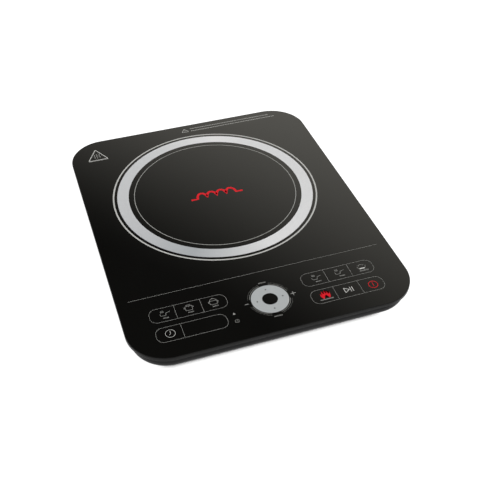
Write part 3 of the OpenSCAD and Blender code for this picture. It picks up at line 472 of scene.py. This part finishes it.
def glass_plate():
    """The plate as closed loops over its edge: polished faces, and a ground edge with rounded arrises."""
    top, bottom = GLASS_TOP - INK, GLASS_BOTTOM
    section = []
    for step in range(ARRIS_STEPS + 1):
        angle = math.radians(90 * step / ARRIS_STEPS)
        section.append((ARRIS_R * (1 - math.sin(angle)), top - ARRIS_R * (1 - math.cos(angle))))
    section += [(inset, bottom + top - height) for inset, height in reversed(section)]
    bm = bmesh.new()
    loops = []
    for inset, height in section:
        points = outline(GLASS_W / 2 - inset, GLASS_D / 2 - inset, CORNER_R - inset, CORNER_STEPS)
        loops.append([bm.verts.new((x * MM, y * MM, height * MM)) for x, y in points])
    polished, ground = 0, 1
    count = len(loops[0])
    for upper, lower in zip(loops, loops[1:]):
        for k in range(count):
            after = (k + 1) % count
            face = bm.faces.new((upper[k], lower[k], lower[after], upper[after]))
            face.smooth, face.material_index = True, ground
    for flat in (loops[0], loops[-1][::-1]):
        bm.faces.new(flat).material_index = polished
    bmesh.ops.recalc_face_normals(bm, faces=bm.faces)
    mesh = bpy.data.meshes.new("glass_plate")
    bm.to_mesh(mesh)
    bm.free()
    for finish in ("ceramic_glass", "ground_edge"):
        mesh.materials.append(finishes[finish])
    return mesh


def paths(lines):
    """A mesh of bare edges, one chain for each (points, closed), on the face of the glass."""
    vertices, edges = [], []
    for points, closed in lines:
        start = len(vertices)
        vertices += [((x + SHIFT) * MM, y * MM, 0.0) for x, y in points]
        edges += [(start + k, start + k + 1) for k in range(len(points) - 1)]
        if closed:
            edges.append((len(vertices) - 1, start))
    mesh = bpy.data.meshes.new("paths")
    mesh.from_pydata(vertices, edges, [])
    return mesh


def prisms(name, polygons):
    """Filled printed shapes, each a thin closed prism sunk as far into the glass as it stands proud."""
    bm = bmesh.new()
    for points in polygons:
        area = sum(ax * by - bx * ay for (ax, ay), (bx, by) in zip(points, points[1:] + points[:1]))
        if area < 0:
            points = points[::-1]
        rings = [[bm.verts.new(((x + SHIFT) * MM, y * MM, z * MM)) for x, y in points]
                 for z in (GLASS_TOP - 2 * INK, GLASS_TOP)]
        count = len(points)
        bm.faces.new(rings[1])
        bm.faces.new(rings[0][::-1])
        for k in range(count):
            bm.faces.new((rings[0][k], rings[0][(k + 1) % count], rings[1][(k + 1) % count], rings[1][k]))
    bmesh.ops.triangulate(bm, faces=[face for face in bm.faces if len(face.verts) > 4])
    mesh = bpy.data.meshes.new(name)
    bm.to_mesh(mesh)
    bm.free()
    return mesh


# ---------------------------------------------------------------- geometry node trees


class Grower:
    """A geometry node tree with named inputs, built by calls."""

    def __init__(self, name, inputs):
        self.tree = bpy.data.node_groups.new(name, "GeometryNodeTree")
        face = self.tree.interface
        face.new_socket("Geometry", in_out="INPUT", socket_type="NodeSocketGeometry")
        for label, (kind, value) in inputs.items():
            socket = face.new_socket(label, in_out="INPUT", socket_type="NodeSocket" + kind)
            if value is not None:
                socket.default_value = value
        face.new_socket("Geometry", in_out="OUTPUT", socket_type="NodeSocketGeometry")
        self.entry = self.tree.nodes.new("NodeGroupInput")
        self.exit = self.tree.nodes.new("NodeGroupOutput")

    def __getitem__(self, label):
        return self.entry.outputs[label]

    def node(self, kind, settings=None, sockets=None, output=0):
        made = self.tree.nodes.new(kind)
        for key, value in (settings or {}).items():
            setattr(made, key, value)
        for key, value in (sockets or {}).items():
            socket = made.inputs[key]
            if isinstance(value, bpy.types.NodeSocket):
                self.tree.links.new(value, socket)
            else:
                socket.default_value = value
        return made.outputs[output]

    def close(self, geometry):
        real = self.node("GeometryNodeRealizeInstances", sockets={"Geometry": geometry})
        flat = self.node("GeometryNodeSetShadeSmooth", sockets={"Geometry": real, "Shade Smooth": False})
        inked = self.node("GeometryNodeSetMaterial", sockets={"Geometry": flat, "Material": self["Material"]})
        self.tree.links.new(inked, self.exit.inputs["Geometry"])
        return self.tree


def line_profile(g):
    """Flat rectangular section of a printed line."""
    sockets = {"Width": g["Line width"], "Height": g["Ink thickness"]}
    return g.node("GeometryNodeCurvePrimitiveQuadrilateral", {"mode": "RECTANGLE"}, sockets)


def raised(g, geometry):
    lift = g.node("ShaderNodeCombineXYZ", sockets={"Z": g["Height"]})
    return g.node("GeometryNodeSetPosition", sockets={"Geometry": geometry, "Offset": lift})


def swept(g, curve):
    flat = g.node("GeometryNodeSetCurveNormal", {"mode": "Z_UP"}, {"Curve": curve})
    sockets = {"Curve": flat, "Profile Curve": line_profile(g), "Fill Caps": True}
    return raised(g, g.node("GeometryNodeCurveToMesh", sockets=sockets))


def ink_inputs(own):
    """Inputs of a tree that prints, in metres: the sizes that all three share, and its own."""
    sizes = {"Line width": 0.0004, "Ink thickness": 0.00006, "Height": 0.038}
    shared = {label: ("Float", size) for label, size in sizes.items()}
    return {**shared, **own, "Material": ("Material", None)}


def printed_lines():
    """Bare edges become flat printed lines with rounded corners."""
    own = {"Corner radius": ("Float", 0.0005), "Corner steps": ("Int", 6)}
    g = Grower("printed_lines", ink_inputs(own))
    curve = g.node("GeometryNodeMeshToCurve", sockets={"Mesh": g["Geometry"]})
    corners = {"Radius": g["Corner radius"], "Count": g["Corner steps"], "Limit Radius": True}
    eased = g.node("GeometryNodeFilletCurve", {"mode": "POLY"}, {"Curve": curve, **corners})
    return g.close(swept(g, eased))


def printed_rings():
    """A flat printed ring round each vertex."""
    own = {"Ring radius": ("Float", 0.1), "Ring steps": ("Int", 256)}
    g = Grower("printed_rings", ink_inputs(own))
    sockets = {"Resolution": g["Ring steps"], "Radius": g["Ring radius"]}
    path = g.node("GeometryNodeCurvePrimitiveCircle", {"mode": "RADIUS"}, sockets)
    flat = g.node("GeometryNodeSetCurveNormal", {"mode": "Z_UP"}, {"Curve": path})
    ring = g.node("GeometryNodeCurveToMesh", sockets={"Curve": flat, "Profile Curve": line_profile(g)})
    points = g.node("GeometryNodeMeshToPoints", sockets={"Mesh": g["Geometry"]})
    rings = g.node("GeometryNodeInstanceOnPoints", sockets={"Points": points, "Instance": ring})
    return g.close(raised(g, rings))


def printed_dashes():
    """Short bars set along bare edges, at an even pitch."""
    own = {"Dash length": ("Float", 0.001), "Pitch": ("Float", 0.0016)}
    g = Grower("printed_dashes", ink_inputs(own))
    curve = g.node("GeometryNodeMeshToCurve", sockets={"Mesh": g["Geometry"]})
    even = g.node("GeometryNodeResampleCurve", {"mode": "LENGTH"}, {"Curve": curve, "Length": g["Pitch"]})
    tangent = g.node("GeometryNodeInputTangent")
    turn = g.node("FunctionNodeAlignRotationToVector", {"axis": "X"}, {"Vector": tangent})
    sockets = {"X": g["Dash length"], "Y": g["Line width"], "Z": g["Ink thickness"]}
    size = g.node("ShaderNodeCombineXYZ", sockets=sockets)
    bar = g.node("GeometryNodeMeshCube", sockets={"Size": size})
    bars = g.node("GeometryNodeInstanceOnPoints", sockets={"Points": even, "Instance": bar, "Rotation": turn})
    return g.close(raised(g, bars))


def grown(name, mesh, tree, finish, slot, **inputs):
    """Runs a tree on a mesh and keeps the plain result as a piece."""
    seedling = bpy.data.objects.new(name + "_paths", mesh)
    bpy.context.scene.collection.objects.link(seedling)
    modifier = seedling.modifiers.new("grow", "NODES")
    modifier.node_group = tree
    for item in tree.interface.items_tree:
        key = item.name.lower().replace(" ", "_")
        if item.in_out == "INPUT" and key in inputs:
            modifier[item.identifier] = inputs[key]
        elif item.in_out == "INPUT" and item.name == "Material":
            modifier[item.identifier] = finishes[finish]
    bpy.context.view_layer.update()
    result = bpy.data.meshes.new_from_object(seedling.evaluated_get(bpy.context.evaluated_depsgraph_get()))
    result.name = name
    bpy.data.objects.remove(seedling)
    piece(name, result, finish)


LINES, RINGS, DASHES = printed_lines(), printed_rings(), printed_dashes()
INK_Z = (GLASS_TOP - INK) * MM  # middle of an ink layer that is sunk as far as it stands proud
PRINT_SLOT = "ceramic_glass"


def layer(width, lower=0.0):
    """The inputs that all three trees take."""
    return {"line_width": width * MM, "ink_thickness": 2 * INK * MM, "height": INK_Z - lower * MM}


def ink_lines(name, lines, width, finish="grey_ink", corner=0.3, steps=5):
    rounding = {"corner_radius": corner * MM, "corner_steps": steps}
    grown(name, paths(lines), LINES, finish, PRINT_SLOT, **layer(width), **rounding)


def ink_dashes(name, lines, length, width, pitch):
    spacing = {"dash_length": length * MM, "pitch": pitch * MM}
    grown(name, paths(lines), DASHES, "grey_ink", PRINT_SLOT, **layer(width), **spacing)


def ink_ring(name, centre, inner, outer, finish, lower=0.0):
    radius = (inner + outer) / 2 * MM
    middle = paths([line(centre)])
    grown(name, middle, RINGS, finish, PRINT_SLOT, **layer(outer - inner, lower), ring_radius=radius)


def ink_shapes(name, polygons, finish):
    piece(name, prisms(name, polygons), finish)


# ---------------------------------------------------------------- shapes of the print, in millimetres


def line(*points):
    return points, False


def loop(*points):
    """A line that closes on its first point."""
    return points, True


def level(start, end, y):
    return line((start, y), (end, y))


def upright(x, start, end):
    return line((x, start), (x, end))


def arc(centre, radius, first, last, steps=24):
    """Points of an arc from the first angle to the last, in degrees."""
    angles = [math.radians(first + (last - first) * step / steps) for step in range(steps + 1)]
    return [(centre[0] + radius * math.cos(a), centre[1] + radius * math.sin(a)) for a in angles]


def circle(centre, radius, steps):
    return arc(centre, radius, 0, 360 - 360 / steps, steps - 1)


def shifted(centre, points):
    return [(centre[0] + x, centre[1] + y) for x, y in points]


def moved(centre, *lines):
    """Lines drawn about (0, 0), set about centre."""
    return [(shifted(centre, points), closed) for points, closed in lines]


def rectangle(left, right, low, high):
    return (left, low), (right, low), (right, high), (left, high)


# ---------------------------------------------------------------- the glass and its print

piece("glass_plate", glass_plate(), "ceramic_glass", ["glass_top"])

# Rings of the cooking zone: (inner radius, outer radius, ink)
zone_rings = {
    "zone_inner_ring": (87.55, 88.2, "grey_ink"),
    "zone_band": (94.1, 106.35, "silver_ink"),
    "zone_outer_ring": (109.55, 111.15, "rim_ink"),
}
for name, ring in zone_rings.items():
    ink_ring(name, RING, *ring)

# Dial: a flat ring to slide a finger round, with a dark dot at each quarter and arcs round it
dial_inner, dial_outer, dots_at, dot_r = 7.5, 18.1, 12.75, 0.75
ink_ring("dial_disc", DIAL, dial_inner, dial_outer, "dial_ink", lower=INK / 2)
quarters = [Vector((math.cos(a), math.sin(a))) for a in (0, math.pi / 2, math.pi, 1.5 * math.pi)]
ink_shapes("dial_dots", [circle(DIAL + way * dots_at, dot_r, 24) for way in quarters], "dark_ink")
arc_spans = ((15, 76), (104, 166), (194, 256), (284, 346))
for name, radius, width in (("dial_inner_arcs", 19.4, 0.28), ("dial_outer_arcs", 21.2, 0.08)):
    dial_arcs = [line(*arc(DIAL, radius, *span)) for span in arc_spans]
    ink_lines(name, dial_arcs, width, corner=0.0, steps=1)
plus, minus, sign_x = 2.6, 1.9, 23.3
signs = (level(sign_x - plus, sign_x + plus, 0), upright(sign_x, -plus, plus),
         level(-sign_x - minus, -sign_x + minus, 0))
ink_lines("dial_signs", moved(DIAL, *signs), 0.3, "pale_ink")

# Key groups: (left, right, low, high, dividers)
HAIRLINE = 0.2
upper_row, lower_row = (PANEL + 42.8, PANEL + 60.3), (PANEL + 18.2, PANEL + 35.8)
key_groups = [
    (-113.3, -38.9, *upper_row, (-88.6, -63.3)),
    (-113.1, -46.0, *lower_row, (-88.5,)),
    (37.2, 111.9, *upper_row, (62.3, 87.4)),
    (37.6, 111.7, *lower_row, (62.2, 87.8)),
]
outlines = [loop(*rectangle(*group[:4])) for group in key_groups]
ink_lines("key_outlines", outlines, HAIRLINE, corner=7.0, steps=14)
dividers = [upright(x, low + HAIRLINE, high - HAIRLINE)
            for _, _, low, high, places in key_groups for x in places]
ink_lines("key_dividers", dividers, HAIRLINE)
ink_lines("panel_divider", [level(-128, 128.5, PANEL + 77.6)], HAIRLINE)

# Symbols, each drawn about its own middle
steam = [line((x, 1.6), (x + 0.4, 2.4), (x, 3.2), (x + 0.4, 4.2)) for x in (-2.6, -1.4, -0.2)]
pan = [line((-3.6, 0.6), (-3.3, -1.6), (-2.6, -2.3), (1.0, -2.3), (1.7, -1.6), (2.0, 0.5), (6.6, 2.0))]


def handled_pot(half, rim, handle):
    """A pot's outline between +-half, up to rim, with a square handle on each side whose top is at handle."""
    base, heel, reach = -2.8, -2.0, 1.2
    toe, out, low = half - 0.7, half + reach, handle - reach
    body = loop((-half, rim), (-half, heel), (-toe, base), (toe, base), (half, heel), (half, rim))
    handles = [line((side * half, handle), (side * out, handle), (side * out, low), (side * half, low))
               for side in (-1, 1)]
    return [body] + handles


kettle = handled_pot(3.4, 2.6, 1.4)
kettle += [line((-2.2, 2.6), (-1.6, 4.2), (1.6, 4.2), (2.2, 2.6)), upright(0, 1.2, 3.4)]
pot = handled_pot(3.6, 1.9, 0.9) + [line(*arc((0, 1.2), 3.5, 15, 165, 10)), level(-0.8, 0.8, 5.0)]
bowl = [line((-4.6, 1.2), (-3.6, -1.6), (3.6, -1.6), (4.6, 1.2)), line(*arc((0, 1.0), 2.2, 0, 180, 10)),
        line((-3.4, 2.0), (-2.7, 3.0)), line((3.4, 2.0), (2.7, 3.0))]
symbol_y = PANEL + 52.3
symbols = [
    (-99.6, pan + steam), (-75.6, kettle), (-51.6, pot),
    (51.4, pan + steam), (75.6, pan + steam), (100.2, bowl),
]
symbol_lines = [stroke for x, lines in symbols for stroke in moved((x, symbol_y), *lines)]
ink_lines("key_symbols", symbol_lines, 0.27)
bowl_base = rectangle(97.4, 103.0, symbol_y - 2.9, symbol_y - 1.7)
ink_shapes("bowl_base", [bowl_base], "pale_ink")

clock_at, timer_at = (-100.0, PANEL + 27.1), (-37.9, PANEL + 22.4)
clock = loop(*circle((0, 0), 4.5, 48)), line((0.3, 2.9), (0.3, 0), (-1.3, -1.5))
ink_lines("clock_symbol", moved(clock_at, *clock), 0.31, "pale_ink", corner=0.1)
timer = loop(*circle((0, 0), 1.9, 24)), line((0, 1.0), (0, 0), (0.8, -0.4))
ink_lines("timer_symbol", moved(timer_at, *timer), 0.22, corner=0.1)
lock = [(-39.2, PANEL + 30.8), (-36.7, PANEL + 31.0), (-38.3, PANEL + 33.3)]
ink_shapes("lock_mark", [lock], "grey_ink")

play_at, power_at, flame_at = (75.4, PANEL + 27.3), (100.6, PANEL + 26.2), (51.7, PANEL + 28.3)
play = loop((-4.1, 3.2), (-4.1, -3.2), (0.8, 0)), upright(2.0, 3.2, -3.2), upright(4.2, 3.2, -3.2)
ink_lines("play_symbol", moved(play_at, *play), 0.55, "pale_ink")
power = loop(*circle((0, 0), 4.5, 48)), upright(0, 2.8, -2.5)
ink_lines("power_symbol", moved(power_at, *power), 0.5, "red_ink", corner=0.1)
flame = [
    (-3.4, -4.9), (-4.5, -3.0), (-5.0, -0.4), (-4.6, 1.8), (-3.6, -0.4), (-3.2, 2.0), (-2.3, 5.0),
    (-1.7, 0.9), (-0.9, 1.0), (-0.3, 3.0), (0.2, 5.6), (0.9, 0.9), (1.7, 1.0), (2.4, 4.5), (3.1, -0.2),
    (4.0, 0.4), (5.0, 2.8), (4.8, -1.4), (4.2, -3.4), (3.6, -4.9), (2.6, -4.9), (1.8, -2.6),
    (0.2, -0.6), (-1.4, -2.6), (-2.2, -4.9),
]
ink_shapes("flame_symbol", [shifted(flame_at, flame)], "red_ink")

# Rows of plain strokes under the symbols, above the dial and below it: (middle, y, half length)
label_y = PANEL + 47.0
label_rows = [(x, label_y, 2.3) for x in (-98.8, -74.8, -51.0, 52.8, 77.6)]
label_rows += [(100.9, label_y, 4.3), (51.2, PANEL + 22.2, 6.2)]
label_rows += [(DIAL.x, DIAL.y + 22.6, 3.3), (DIAL.x, DIAL.y - 22.8, 3.6)]
strokes = [level(x - half, x + half, y) for x, y, half in label_rows]
ink_dashes("label_strokes", strokes, length=0.42, width=1.35, pitch=0.95)

# Two rows of dashes along the rear edge, beside a small triangle, and the hot-surface triangle
notice = [level(8.0, 106.0, REAR - 8.3), level(8.0, 112.0, REAR - 13.2)]
ink_dashes("notice_bars", notice, length=1.6, width=1.25, pitch=2.1)
hot_at = (-109.6, REAR - 29.8)
hot = loop((0, 13.8), (-11.0, -6.6), (11.0, -6.6))
ink_lines("hot_triangle", moved(hot_at, hot), 0.75, "pale_ink", corner=0.5)
wave = [(-1.0, 5.0), (0.5, 3.2), (-0.9, 1.2), (0.6, -0.8), (-0.5, -3.0)]
waves = [line(*shifted((x, 0), wave)) for x in (-2.8, 0.0, 2.8)]
ink_lines("hot_waves", moved(hot_at, *waves, level(-11.2, 11.2, -7.7)), 0.5, corner=0.9)
small = loop((0, 3.9), (-4.3, -2.6), (4.3, -2.6)), upright(0, 1.2, -0.9)
ink_lines("notice_triangle", moved((0.2, REAR - 11.0), *small), 0.45, "pale_ink", corner=0.5)

# Mark in the middle of the zone: the circuit symbol of a coil
hump, hump_h, mark_half = 5.4, 8.4, 29.0
mark = [(-mark_half, 0.0), (-4 * hump, 0.0)]
for k in range(4):
    angles = [math.radians(15 * step) for step in range(1, 12)]
    mark += [((2 * k - 3) * hump - hump * math.cos(a), hump_h * math.sin(a)) for a in angles]
    mark.append(((2 * k - 2) * hump, 0.0))
mark.append((mark_half, 0.0))
ink_lines("zone_mark", moved((ZONE.x, ZONE.y - 8.2), line(*mark)), 2.7, "red_ink", corner=0.0, steps=1)

# ---------------------------------------------------------------- studio


def towards(azimuth, elevation):
    """The direction at those angles, in degrees; azimuth 0 is the front and 90 is the right."""
    azimuth, elevation = math.radians(azimuth), math.radians(elevation)
    return Vector((math.sin(azimuth) * math.cos(elevation), -math.cos(azimuth) * math.cos(elevation),
                   math.sin(elevation)))


aim = Vector((-0.0007, -0.0453, GLASS_TOP * MM))
view_distance = 0.8283
back = towards(-18.57, 41.47)
camera = bpy.data.objects.new("camera", bpy.data.cameras.new("camera"))
camera.data.lens, camera.data.sensor_width = 61.0, 36.0
camera.data.clip_start, camera.data.clip_end = 0.01, 60.0
camera.location = aim + back * view_distance
camera.rotation_euler = (-back).to_track_quat("-Z", "Y").to_euler()
bpy.context.scene.collection.objects.link(camera)
bpy.context.scene.camera = camera


def softbox(name, place, target, size, watts):
    """A square lamp that isn't mirrored in the glass."""
    lamp = bpy.data.lights.new(name, "AREA")
    lamp.shape, lamp.size, lamp.energy = "SQUARE", size, watts
    made = bpy.data.objects.new(name, lamp)
    made.location = place
    made.rotation_euler = (Vector(target) - Vector(place)).to_track_quat("-Z", "Y").to_euler()
    made.visible_glossy = False
    bpy.context.scene.collection.objects.link(made)


softbox("top_light", (-0.1, -0.15, 1.7), (0, 0, 0), 1.3, 25.0)
FLOOR_HALF = 15.0  # metres
PAINTED_SHADOW_REACH = 9.0  # the floor's glow carries a painted contact shadow within this many millimetres of another surface


def light_table():
    """Pale floor lit from below, as a product table is, with a painted contact shadow: its glow darkens where
    something nearly touches it.
    """
    f = Finish("light_table", Roughness=0.9, Specular_IOR_Level=0.1, Emission_Strength=1.0)
    grain = f.noise(300.0, 2.0)
    f.set(Base_Color=f.blend(grain.ramp(0.3, 0.7), (0.3, 0.3, 0.3), (0.32, 0.32, 0.32)))
    openness = f.node("ShaderNodeAmbientOcclusion", {"samples": 8}, {"Distance": PAINTED_SHADOW_REACH * MM}, "AO")
    # Openness at which the painted contact shadow is full, and at which it ends
    painted_shadow_full_at, clear = 0.5, 0.74
    f.set(Emission_Color=f.blend(openness.ramp(painted_shadow_full_at, clear), (0.0, 0.0, 0.0), (1.0, 1.0, 1.0)))
    return f.data


corners = rectangle(-FLOOR_HALF, FLOOR_HALF, -FLOOR_HALF, FLOOR_HALF)
floor_mesh = bpy.data.meshes.new("floor")
floor_mesh.from_pydata([(x, y, 0) for x, y in corners], [], [(0, 1, 2, 3)])
floor_mesh.materials.append(light_table())
floor = bpy.data.objects.new("floor", floor_mesh)
bpy.context.scene.collection.objects.link(floor)


class Surround(Finish):
    """The room's light: pale all round the horizon, and above it bright on one side and dark on the other."""

    def __init__(self):
        self.data = bpy.data.worlds.new("surround")
        self.data.use_nodes = True
        self.tree = self.data.node_tree
        self.tree.nodes.clear()
        output = self.tree.nodes.new("ShaderNodeOutputWorld")
        self.shader = self.tree.nodes.new("ShaderNodeBackground")
        self.tree.links.new(self.shader.outputs[0], output.inputs["Surface"])
        direction = self.node("ShaderNodeTexCoord", output="Generated")
        bright_side = {0: direction, 1: towards(116.3, -49.4)}
        facing = self.node("ShaderNodeVectorMath", {"operation": "DOT_PRODUCT"}, bright_side, "Value")
        height = self.node("ShaderNodeSeparateXYZ", sockets={0: direction}, output="Z")
        dark, bright, horizon = (0.004, 0.004, 0.004), (1.088, 1.056, 0.95), (1.0, 1.0, 1.0)
        all_dark, all_bright = -0.2424, 0.0165
        above_horizon, at_horizon = 0.5, 0.12
        upper = self.blend(facing.ramp(all_dark, all_bright), dark, bright)
        self.set(Color=self.blend(height.ramp(above_horizon, at_horizon), upper, horizon), Strength=1.0)


bpy.context.scene.world = Surround().data
bpy.context.scene.view_settings.view_transform = "Standard"
